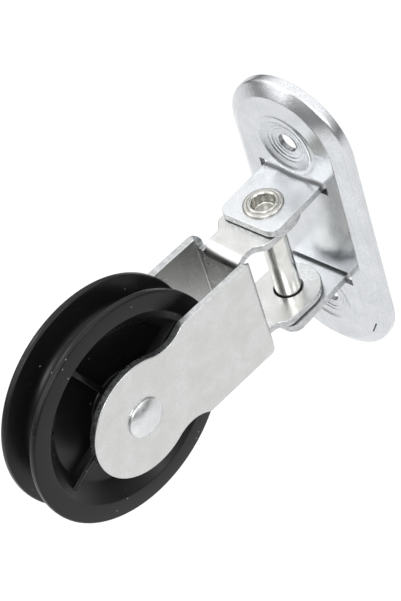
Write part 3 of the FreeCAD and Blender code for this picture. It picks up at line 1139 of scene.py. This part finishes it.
    def build_bracket(self) -> Piece:
        """Builds the folded strip with its two lugs.

        Returns:
            The bracket.
        """
        back = self.plate_sheet - self.plate_depth
        flat = self.lug_inner - self.strip_bend
        arc = self.strip_bend * math.pi / 2
        lug = flat + arc
        start = back - self.strip_bend
        upper = lug + self.upper_tip + start
        lower = lug + self.lower_tip + start
        pin = lug + self.pin_out + start
        half, corner = self.strip_half, self.lug_corner
        right = rounded([(0.0, -lower, 0.0), (half, -lower, corner), (half, upper, corner),
                         (0.0, upper, 0.0)], steps=10)
        outline = right[:-1] + mirrored(right, 0)[:-1]
        holes, lines = [], []
        for side in BOTH_SIDES:
            holes.append(circle((0.0, side * pin), self.pin_radius + self.pin_fit, steps=48))
            for i in range(self.bend_steps + 1):
                run = side * (flat + arc * i / self.bend_steps)
                lines.append([(-half - self.line_overrun, run), (half + self.line_overrun, run)])

        def place(across: float, run: float, deep: float) -> Vector:
            """A point of the folded strip.

            Args:
                across: Distance across the strip.
                run: Distance along the strip from its middle.
                deep: Depth in the sheet from the face towards the plate.

            Returns:
                The point.
            """
            side, reach = math.copysign(1.0, run), abs(run)
            if reach <= flat:
                return Vector((across, back + deep, run))
            if reach < lug:
                turn = (reach - flat) / self.strip_bend
                radius = self.strip_bend + deep
                rise = flat + radius * math.sin(turn)
                return Vector((across, start + radius * math.cos(turn), side * rise))
            return Vector((across, start - (reach - lug), side * (self.lug_inner + deep)))

        mesh = bmesh.new()
        Blank(outline, holes, lines).folded(mesh, self.strip_sheet, place)
        return settled(mesh, "bracket_strip", self.dress(Look.STRIP_ZINC, Look.CUT_ZINC), self.edge_round)

    def rolled(self, spot: Vector) -> bool:
        """Whether a spot of the pin, in millimetres, lies on its rolled end or in its hollow, which take the
        nickel darkened as painted shade.
        """
        above = spot.z > self.lug_inner + self.strip_sheet
        return above or (spot.z > 0 and math.hypot(spot.x, spot.y + self.pin_out) < self.mouth)

    def pin_section(self) -> list[Point]:
        """The pin's half section, from its lower head to the floor of its hollow.

        Returns:
            Points along the pin and out from its axis.
        """
        lug = self.lug_inner + self.strip_sheet
        low, top = -lug - self.pin_head_height, lug + self.roll_height
        collar, lip, valley = lug + self.pin_ease / 2, top - self.pin_ease / 2, top - self.ring_dip
        wide, slim, seat = self.pin_head, self.pin_radius, self.pin_seat_round
        head = rounded([(low, 0.0, 0.0), (low, wide, self.pin_ease), (-lug, wide, seat), (-lug, slim, 0.0),
                        (lug, slim, 0.0), (lug, wide, seat), (collar, wide, 0.0)], steps=5)
        slope = (valley + self.ring_bulge, (wide + self.ring) / 2)
        crown = (top, (self.ring + self.mouth) / 2)
        rolled = arc_through((collar, wide), slope, (valley, self.ring), steps=10)
        rolled += arc_through((valley, self.ring), crown, (lip, self.mouth), steps=12)[1:]
        floor = top - self.hollow_depth
        inner = rounded([
            (lip, self.mouth, 0.0), (lip - self.mouth + self.hollow, self.hollow, self.mouth_round),
            (floor, self.hollow, self.hollow_round), (floor, 0.0, 0.0)], steps=5)
        return head[:-1] + rolled + inner[1:]

    def build_pin(self) -> Piece:
        """Builds the hollow rivet that is rolled over the upper lug.

        Returns:
            The pin.
        """
        pin = self.turning.turned("pin_rivet", self.pin_section(), self.pin_segments,
                                  self.finishes[Look.NICKEL])
        upright = Matrix.Rotation(-math.pi / 2, 4, "Y")
        outward(pin, Matrix.Translation((0.0, -self.pin_out * MM, 0.0)) @ upright)
        # The rolled end and the hollow take the darker copy of the nickel, which is painted shade
        pin.data.materials.append(self.finishes[Look.NICKEL_PAINTED_SHADE])
        for face in pin.data.polygons:
            if self.rolled(face.center / MM):
                face.material_index = len(pin.data.materials) - 1
        return pin

    def build(self) -> None:
        """Builds and mounts the three fixed pieces."""
        mounted(self.build_plate(), Body.WALL_MOUNT, "wall_plate")
        mounted(self.build_bracket(), Body.WALL_MOUNT, "hinge_bracket")
        mounted(self.build_pin(), Body.WALL_MOUNT, "hinge_pin")


@dataclass
class SwingFork(Assembly):
    """The folded fork and its axle rivet.

    The sizes are millimetres, named for the place that they measure; the swing is degrees.
    """

    pin_out: float = 16.2
    rest_swing: float = -4.0
    sheet: float = 2.0
    arm_outer: float = 9.8
    bend_outer: float = 2.5
    bend_steps: int = 8
    web_out: float = 14.8
    arm_half: float = 15.2
    arm_corner: float = 2.0
    arm_overrun: float = 0.2
    shoulder: float = 2.5
    head_radius: float = 15.8
    waist_half: float = 12.9
    waist_radius: float = 9.0
    axle_out: float = 57.0
    ear_half: float = 8.4
    ear_front: float = 8.3
    ear_bend: float = 1.5
    ear_bend_steps: int = 6
    ear_inner: float = 12.25
    ear_hole: float = 3.75
    neck_half: float = 5.7
    neck_round: float = 2.766
    notch_floor: float = 12.05
    relief_slit: float = 0.35
    above_arm: float = 0.3
    beside_ear: float = 0.1
    beside_fold: float = 0.05
    hair: float = 0.01
    axle_hole: float = 3.05
    axle_radius: float = 3.0
    axle_head: float = 5.2
    axle_height: float = 2.2
    axle_edge: float = 0.5
    axle_seat_round: float = 0.12
    axle_edge_round: float = 0.25
    axle_segments: int = 96
    dome_share: float = 0.97
    edge_round: float = 0.26

    def __post_init__(self) -> None:
        """Works out where each flat begins, on the blank and out from the pin."""
        self.web_flat = self.arm_outer - self.bend_outer
        self.arm_start = self.web_flat + self.bend_outer * math.pi / 2
        self.arm_start_out = self.web_out + self.bend_outer
        self.ear_bend_start = self.ear_inner - self.ear_bend
        self.ear_start = self.ear_bend_start + self.ear_bend * math.pi / 2
        self.ear_bend_out = self.web_out - self.ear_bend
        self.pin_run = self.ear_start + self.ear_bend_out

    def at_rest(self) -> Matrix:
        """The place of the fork's own frame in the scene."""
        swing = Matrix.Rotation(math.radians(self.rest_swing), 4, "Z")
        return Matrix.Translation((0.0, -self.pin_out * MM, 0.0)) @ swing

    def axle_place(self) -> Matrix:
        """The place of the axle's middle in the scene."""
        return self.at_rest() @ Matrix.Translation((0.0, -self.axle_out * MM, 0.0))

    def folds(self) -> list[float]:
        """The blank's distances from the middle where an arm's bend is divided."""
        step = (self.arm_start - self.web_flat) / self.bend_steps
        return [self.web_flat + step * i for i in range(self.bend_steps + 1)]

    def along(self, out: float) -> float:
        """The blank's distance from the middle for a distance out from the pin.

        Args:
            out: Distance out from the pin, on an arm or its bend.

        Returns:
            Distance on the blank.
        """
        if out >= self.arm_start_out:
            return self.arm_start + out - self.arm_start_out
        return self.web_flat + self.bend_outer * math.acos((self.arm_start_out - out) / self.bend_outer)

    def ear_limit(self, rise: float) -> float:
        """How far from the blank's middle the tab of an ear can reach at a height.

        Args:
            rise: Height on the blank.

        Returns:
            Distance from the middle.
        """
        if rise > self.arm_half + self.above_arm:
            return self.ear_half + self.beside_ear
        if rise > self.notch_floor + self.hair:
            return self.folds()[1] - self.beside_fold
        return self.neck_half + self.hair

    def place(self, across: float, up: float, deep: float) -> Vector:
        """A point of the folded fork in its own frame.

        Args:
            across: Distance from the blank's middle along the arms.
            up: Distance from the blank's middle along the ears.
            deep: Depth in the sheet from the outer face.

        Returns:
            The point, with the pin's axis at the origin.
        """
        side, reach = math.copysign(1.0, across), abs(across)
        top, rise = math.copysign(1.0, up), abs(up)
        if rise > self.ear_bend_start and reach < self.ear_limit(rise):
            if rise < self.ear_start:
                turn = (rise - self.ear_bend_start) / self.ear_bend
                radius = self.ear_bend + deep
                return Vector((across, -(self.ear_bend_out + radius * math.cos(turn)),
                               top * (self.ear_bend_start + radius * math.sin(turn))))
            return Vector((across, rise - self.ear_start - self.ear_bend_out, top * (self.ear_inner + deep)))
        if reach <= self.web_flat:
            return Vector((across, -(self.web_out + deep), up))
        if reach < self.arm_start:
            turn = (reach - self.web_flat) / self.bend_outer
            radius = self.bend_outer - deep
            return Vector((side * (self.web_flat + radius * math.sin(turn)),
                           -(self.arm_start_out - radius * math.cos(turn)), up))
        return Vector((side * (self.arm_outer - deep), -(self.arm_start_out + reach - self.arm_start), up))

    def arm_side(self) -> list[Point]:
        """Half the outline of an arm, from its tip by head, waist and shoulder.

        Returns:
            Points out from the pin and up.
        """
        waist, shoulder = self.waist_radius, self.shoulder
        waist_up = self.waist_half + waist
        waist_out = self.axle_out - math.sqrt((self.head_radius + waist) ** 2 - waist_up ** 2)
        shoulder_up = self.arm_half - shoulder
        rise = waist_up - shoulder_up
        shoulder_out = waist_out - math.sqrt((waist + shoulder) ** 2 - rise ** 2)
        head_turn = math.degrees(math.atan2(waist_up, waist_out - self.axle_out))
        joint_turn = math.degrees(math.atan2(rise, waist_out - shoulder_out))
        side = arc_points((self.axle_out, 0.0), self.head_radius, 0.0, head_turn, steps=44)
        side += arc_points((waist_out, waist_up), waist, head_turn - 180, joint_turn - 180, steps=16)[1:]
        return side + arc_points((shoulder_out, shoulder_up), shoulder, joint_turn, 90.0, steps=8)[1:]

    def quarter(self) -> list[Point]:
        """A quarter of the blank's outline, from an arm's tip to an ear's tip.

        Returns:
            The points in order.
        """
        run = [(self.along(out), up) for out, up in self.arm_side()]
        corner_out, corner_up = self.web_out + self.arm_corner, self.arm_half - self.arm_corner
        for a in reversed(self.folds()[1:]):
            out = self.arm_start_out - self.bend_outer * math.cos((a - self.web_flat) / self.bend_outer)
            short = max(0.0, corner_out - out)
            run.append((a, corner_up + math.sqrt(self.arm_corner ** 2 - short ** 2)))
        neck, ear, slit = self.neck_half, self.ear_half, self.neck_half + self.relief_slit
        run += [(run[-1][0], self.notch_floor), (slit, self.notch_floor), (slit, self.ear_bend_start)]
        front = self.pin_run - self.ear_front
        run += rounded([(neck, self.ear_bend_start, 0.0), (neck, front - ear + neck, self.neck_round),
                        (ear, front, self.neck_round), (ear, self.pin_run, 0.0)], steps=8)
        return run + arc_points((0.0, self.pin_run), ear, 0.0, 90.0, steps=20)[1:]

    def build_fork(self) -> Piece:
        """Builds the folded sheet.

        Returns:
            The fork.
        """
        quarter = self.quarter()
        upper = quarter + mirrored(quarter, 0)[1:]
        outline = upper[:-1] + mirrored(upper, 1)[:-1]
        bend = self.ear_start - self.ear_bend_start
        high = self.arm_half + self.arm_overrun
        holes, lines = [], []
        for side in BOTH_SIDES:
            holes.append(circle((side * self.along(self.axle_out), 0.0), self.axle_hole, steps=48))
            holes.append(circle((0.0, side * self.pin_run), self.ear_hole, steps=48))
            lines += [[(side * a, -high), (side * a, high)] for a in self.folds()]
            for i in range(self.ear_bend_steps + 1):
                b = side * (self.ear_bend_start + bend * i / self.ear_bend_steps)
                half = self.neck_half + (self.relief_slit / 2 if i else 0.0)
                lines.append([(-half, b), (half, b)])
        mesh = bmesh.new()
        Blank(outline, holes, lines).folded(mesh, self.sheet, self.place)
        mesh.transform(self.at_rest())
        return settled(mesh, "fork_folding", self.dress(Look.SATIN_ZINC, Look.CUT_ZINC), self.edge_round)

    def build_axle(self) -> Piece:
        """Builds the rivet with two domed heads.

        Returns:
            The axle.
        """
        head, arm, slim = self.axle_head, self.arm_outer, self.axle_radius
        rise = self.axle_height - self.axle_edge
        dome = (head * head + rise * rise) / (2 * rise)
        turn = math.degrees(math.asin(head / dome)) * self.dome_share
        cap = arc_points((arm + self.axle_height - dome, 0.0), dome, turn, 0.0, steps=16)
        edge = rounded([(0.0, slim, 0.0), (arm, slim, 0.0), (arm, head, self.axle_seat_round),
                        (arm + self.axle_edge, head, self.axle_edge_round), cap[0] + (0.0,)], steps=4)
        right = edge[:-1] + cap
        section = mirrored(right, 0) + right[1:]
        axle = self.turning.turned("axle_domed_rivet", section, self.axle_segments,
                                   self.finishes[Look.AXLE_ZINC])
        outward(axle, self.axle_place())
        return axle

    def build(self) -> None:
        """Builds and mounts the fork and its axle."""
        mounted(self.build_fork(), Body.SWING_FORK, "wheel_fork")
        mounted(self.build_axle(), Body.SWING_FORK, "axle_rivet")


@dataclass
class RopeWheel(Assembly):
    """The moulded wheel with groove, recesses, hub and ribs.

    The sizes are millimetres, named for the place that they measure; angles are degrees.
    """

    radius: float = 30.0
    half_width: float = 6.0
    mouth: float = 4.2
    groove_depth: float = 6.8
    root_radius: float = 3.0
    flange_round: float = 0.6
    recess: float = 25.0
    recess_round: float = 0.45
    recess_floor: float = 20.5
    floor_round: float = 1.0
    web_half: float = 2.0
    hub: float = 8.5
    hub_foot_round: float = 0.6
    hub_round: float = 0.4
    half_hub: float = 6.3
    bore: float = 3.1
    bore_round: float = 0.25
    slide: float = -1.3
    segments: int = 144
    rib_count: int = 4
    rib_half: float = 4.5
    rib_thickness: float = 1.6
    rib_draft: float = 0.12
    rib_start: float = 8.1
    rib_stop: float = 23.7
    rib_core: float = 21.6
    rib_round: float = 0.25
    first_angle: float = -65.0

    def section(self) -> list[Point]:
        """The closed half section, from the bore round the rim and back.

        Returns:
            Points along the axle and out from it.
        """
        middle = self.radius - self.groove_depth + self.root_radius
        reach = math.hypot(self.mouth, self.radius - middle)
        turn = math.atan2(self.radius - middle, self.mouth) - math.acos(self.root_radius / reach)
        root = arc_points((0.0, middle), self.root_radius, math.degrees(turn), -90.0, steps=8)
        side = rounded([
            (0.0, self.bore, 0.0),
            (self.half_hub, self.bore, self.bore_round),
            (self.half_hub, self.hub, self.hub_round),
            (self.web_half, self.hub, self.hub_foot_round),
            (self.web_half, self.recess_floor, self.floor_round),
            (self.half_width, self.recess, self.recess_round),
            (self.half_width, self.radius, self.flange_round),
            (self.mouth, self.radius, self.flange_round),
            root[0] + (0.0,)], steps=5)
        half = side + root[1:]
        return half + mirrored(half[:-1], 0)

    def build_rib(self) -> Piece:
        """Builds one drafted rib along the Y axis.

        Returns:
            The rib, with its edges rounded.
        """
        thin, thick = self.rib_thickness / 2 - self.rib_draft, self.rib_thickness / 2 + self.rib_draft
        profile = [(-self.rib_half, -thin), (0.0, -thick), (self.rib_half, -thin),
                   (self.rib_half, thin), (0.0, thick), (-self.rib_half, thin)]
        mesh = bmesh.new()
        ends = []
        for side_out, core_out in ((self.rib_start, self.rib_start), (self.rib_stop, self.rib_core)):
            end = [mesh.verts.new(Vector((x, -side_out if x else -core_out, z)) * MM) for x, z in profile]
            mesh.faces.new((end[0], end[1], end[4], end[5]))
            mesh.faces.new((end[1], end[2], end[3], end[4]))
            ends.append(end)
        count = len(profile)
        for i in range(count):
            j = (i + 1) % count
            mesh.faces.new((ends[0][i], ends[0][j], ends[1][j], ends[1][i]))
        return settled(mesh, "wheel_ribs", [], self.rib_round)

    def build(self, ring: RibRing, place: Matrix) -> None:
        """Builds and mounts the wheel.

        Args:
            ring: The tree that repeats the rib.
            place: The place of the axle's middle in the scene.
        """
        nylon = self.finishes[Look.NYLON]
        wheel = self.turning.turned("wheel_moulding", self.section(), self.segments, nylon)
        ribs = self.build_rib()
        first = math.radians(self.first_angle)
        run_tree(ribs, ring.tree, {"Count": self.rib_count, "First Angle": first, "Finish": nylon})
        mesh = bmesh.new()
        mesh.from_mesh(wheel.data)
        mesh.from_mesh(ribs.data)
        mesh.to_mesh(wheel.data)
        mesh.free()
        bpy.data.meshes.remove(ribs.data)
        outward(wheel, place @ Matrix.Translation((self.slide * MM, 0.0, 0.0)))
        mounted(wheel, Body.WHEEL, "pulley_wheel")


# The studio


@dataclass(frozen=True)
class SoftLamp:
    """One soft white area light.

    Attributes:
        name: Name of the light.
        place: Where it stands, in metres.
        size: Width and height in metres.
        power: Watts.
        aim: Point that it looks at, in metres.
    """

    name: str
    place: Place
    size: Point
    power: float
    aim: Place = (0.0, -0.04, 0.0)

    def hang(self) -> None:
        """Makes the light and turns it to its aim."""
        data = bpy.data.lights.new(self.name, "AREA")
        data.shape = "RECTANGLE"
        data.size, data.size_y = self.size
        data.energy = self.power
        lamp = bpy.data.objects.new(self.name, data)
        lamp.location = self.place
        lamp.rotation_euler = (Vector(self.aim) - Vector(self.place)).to_track_quat("-Z", "Y").to_euler()
        bpy.context.scene.collection.objects.link(lamp)


@dataclass
class Studio:
    """A pale floor, soft light and the camera at the photograph's viewing angle.

    Attributes:
        camera_place: Camera position in millimetres.
        right: The picture's right in the scene.
        down: The picture's down in the scene.
        ahead: The way that the camera looks.
        lens: Focal length on the sensor, in millimetres.
        sensor: Sensor size along the picture's height, in millimetres.
        clip: Nearest and farthest that the camera sees, in metres.
        floor_level: Height of the floor in metres.
        floor_half: Half the floor's side in metres.
        horizon: Upward shares of a direction between which the dome brightens.
        dome: Strength of the dome below and above that.
        lamps: The area lights.
    """

    camera_place: Place = (348.571, -302.295, 421.726)
    right: Place = (0.742632, 0.627936, -0.232795)
    down: Place = (0.332399, -0.647383, -0.685861)
    ahead: Place = (-0.581384, 0.431962, -0.689493)
    lens: float = 150.81
    sensor: float = 36.0
    clip: Point = (0.01, 20.0)
    floor_level: float = -0.25
    floor_half: float = 4.0
    horizon: Point = (0.12, 0.62)
    dome: Point = (0.20, 1.52)
    lamps: tuple[SoftLamp, ...] = (
        SoftLamp("window_box", (-0.74, -1.0, 0.66), (0.8, 0.85), 3.0),
        SoftLamp("gleam_box", (-0.86, -0.31, 1.0), (0.22, 0.22), 1.5),
        SoftLamp("side_box", (1.22, 0.13, 0.86), (0.4, 0.4), 3.0),
        SoftLamp("front_box", (0.64, -0.84, 0.84), (0.5, 0.5), 5.6))

    def set_camera(self) -> None:
        """Makes the camera and gives it to the scene."""
        data = bpy.data.cameras.new("photo_view")
        data.lens = self.lens
        data.sensor_width = self.sensor
        data.clip_start, data.clip_end = self.clip
        camera = bpy.data.objects.new("photo_view", data)
        axes = Matrix((self.right, -Vector(self.down), -Vector(self.ahead))).transposed()
        camera.matrix_world = Matrix.Translation(Vector(self.camera_place) * MM) @ axes.to_4x4()
        bpy.context.scene.collection.objects.link(camera)
        bpy.context.scene.camera = camera

    def lay_floor(self, paper: Material) -> None:
        """Lays the pale floor.

        Args:
            paper: Material of the floor.
        """
        mesh = bmesh.new()
        bmesh.ops.create_grid(mesh, x_segments=8, y_segments=8, size=self.floor_half)
        mesh.transform(Matrix.Translation((0.0, 0.0, self.floor_level)))
        data = bpy.data.meshes.new("studio_floor")
        mesh.to_mesh(data)
        mesh.free()
        data.materials.append(paper)
        new_object("studio_floor", data)

    def light_dome(self) -> None:
        """Fills the room with soft light that falls off towards the horizon."""
        world = bpy.data.worlds.new("soft_dome")
        bpy.context.scene.world = world
        world.use_nodes = True
        world.node_tree.nodes.clear()
        graph = Graph(world.node_tree)
        way = graph.add("ShaderNodeTexCoord", {}).outputs["Generated"]
        up = graph.add("ShaderNodeSeparateXYZ", {0: way}).outputs["Z"]
        level = graph.spread(up, self.horizon, self.dome)
        seen = graph.add("ShaderNodeLightPath", {}).outputs["Is Camera Ray"]
        level = graph.math("MAXIMUM", level, seen)
        back = graph.add("ShaderNodeBackground", {"Color": (1.0, 1.0, 1.0, 1.0), "Strength": level})
        graph.add("ShaderNodeOutputWorld", {"Surface": back.outputs[0]})

    def build(self, finishes: Finishes) -> None:
        """Sets up floor, light and camera.

        Args:
            finishes: The part's materials.
        """
        bpy.context.scene.view_settings.view_transform = "Standard"
        self.lay_floor(finishes[Look.PAPER])
        self.light_dome()
        for lamp in self.lamps:
            lamp.hang()
        self.set_camera()


def main() -> None:
    """Builds the part and the studio in order."""
    logging.basicConfig(level=logging.INFO, format="%(name)s: %(message)s")
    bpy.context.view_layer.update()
    finishes = made_finishes()
    turning = Turning()
    fork = SwingFork(turning, finishes)
    WallMount(turning, finishes).build()
    fork.build()
    RopeWheel(turning, finishes).build(RibRing(), fork.axle_place())
    Studio().build(finishes)


if __name__ == "__main__":
    main()
